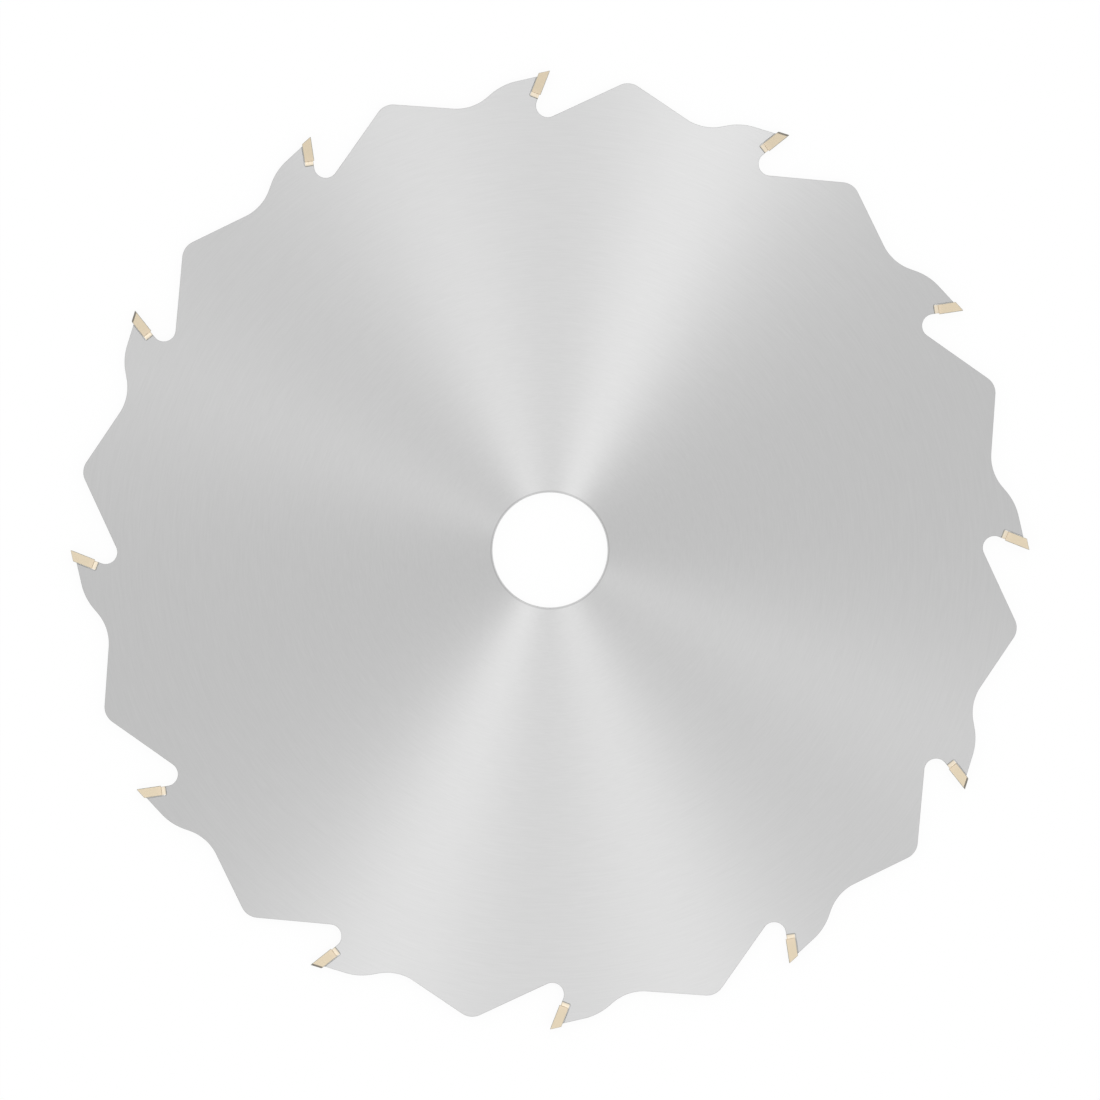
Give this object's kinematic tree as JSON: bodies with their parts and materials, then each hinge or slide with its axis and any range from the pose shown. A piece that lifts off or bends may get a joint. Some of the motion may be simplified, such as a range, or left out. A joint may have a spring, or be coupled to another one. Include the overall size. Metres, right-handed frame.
{
  "type": "circular saw blade",
  "caption": "Flat steel saw disc with a plain central bore, chip-limiting shoulders and carbide tips brazed into its toothed rim; it rips timber on a saw's spindle.",
  "frame": {"origin": "centre of the bore at half the disc's thickness", "axes": "+Z along the bore, out of the face that the picture shows; +Y through the first tooth's cutting edge; the teeth point clockwise seen from +Z"},
  "size_m": [0.25, 0.25, 0.0032],
  "materials": {
    "plate_steel": "ground in circles about the bore, satin",
    "tip_carbide": "ground, pale champagne sides with darker top lands",
    "silver_braze": "smooth, pale straw"
  },
  "bodies": {
    "root": {"blade_plate": "plate_steel", "tip_01_right_bevel": "tip_carbide", "tip_02_left_bevel": "tip_carbide", "tip_03_raker": "tip_carbide", "tip_04_right_bevel": "tip_carbide", "tip_05_left_bevel": "tip_carbide", "tip_06_raker": "tip_carbide", "tip_07_right_bevel": "tip_carbide", "tip_08_left_bevel": "tip_carbide", "tip_09_raker": "tip_carbide", "tip_10_right_bevel": "tip_carbide", "tip_11_left_bevel": "tip_carbide", "tip_12_raker": "tip_carbide", "braze_01": "silver_braze", "braze_02": "silver_braze", "braze_03": "silver_braze", "braze_04": "silver_braze", "braze_05": "silver_braze", "braze_06": "silver_braze", "braze_07": "silver_braze", "braze_08": "silver_braze", "braze_09": "silver_braze", "braze_10": "silver_braze", "braze_11": "silver_braze", "braze_12": "silver_braze"}
  },
  "joints": []
}
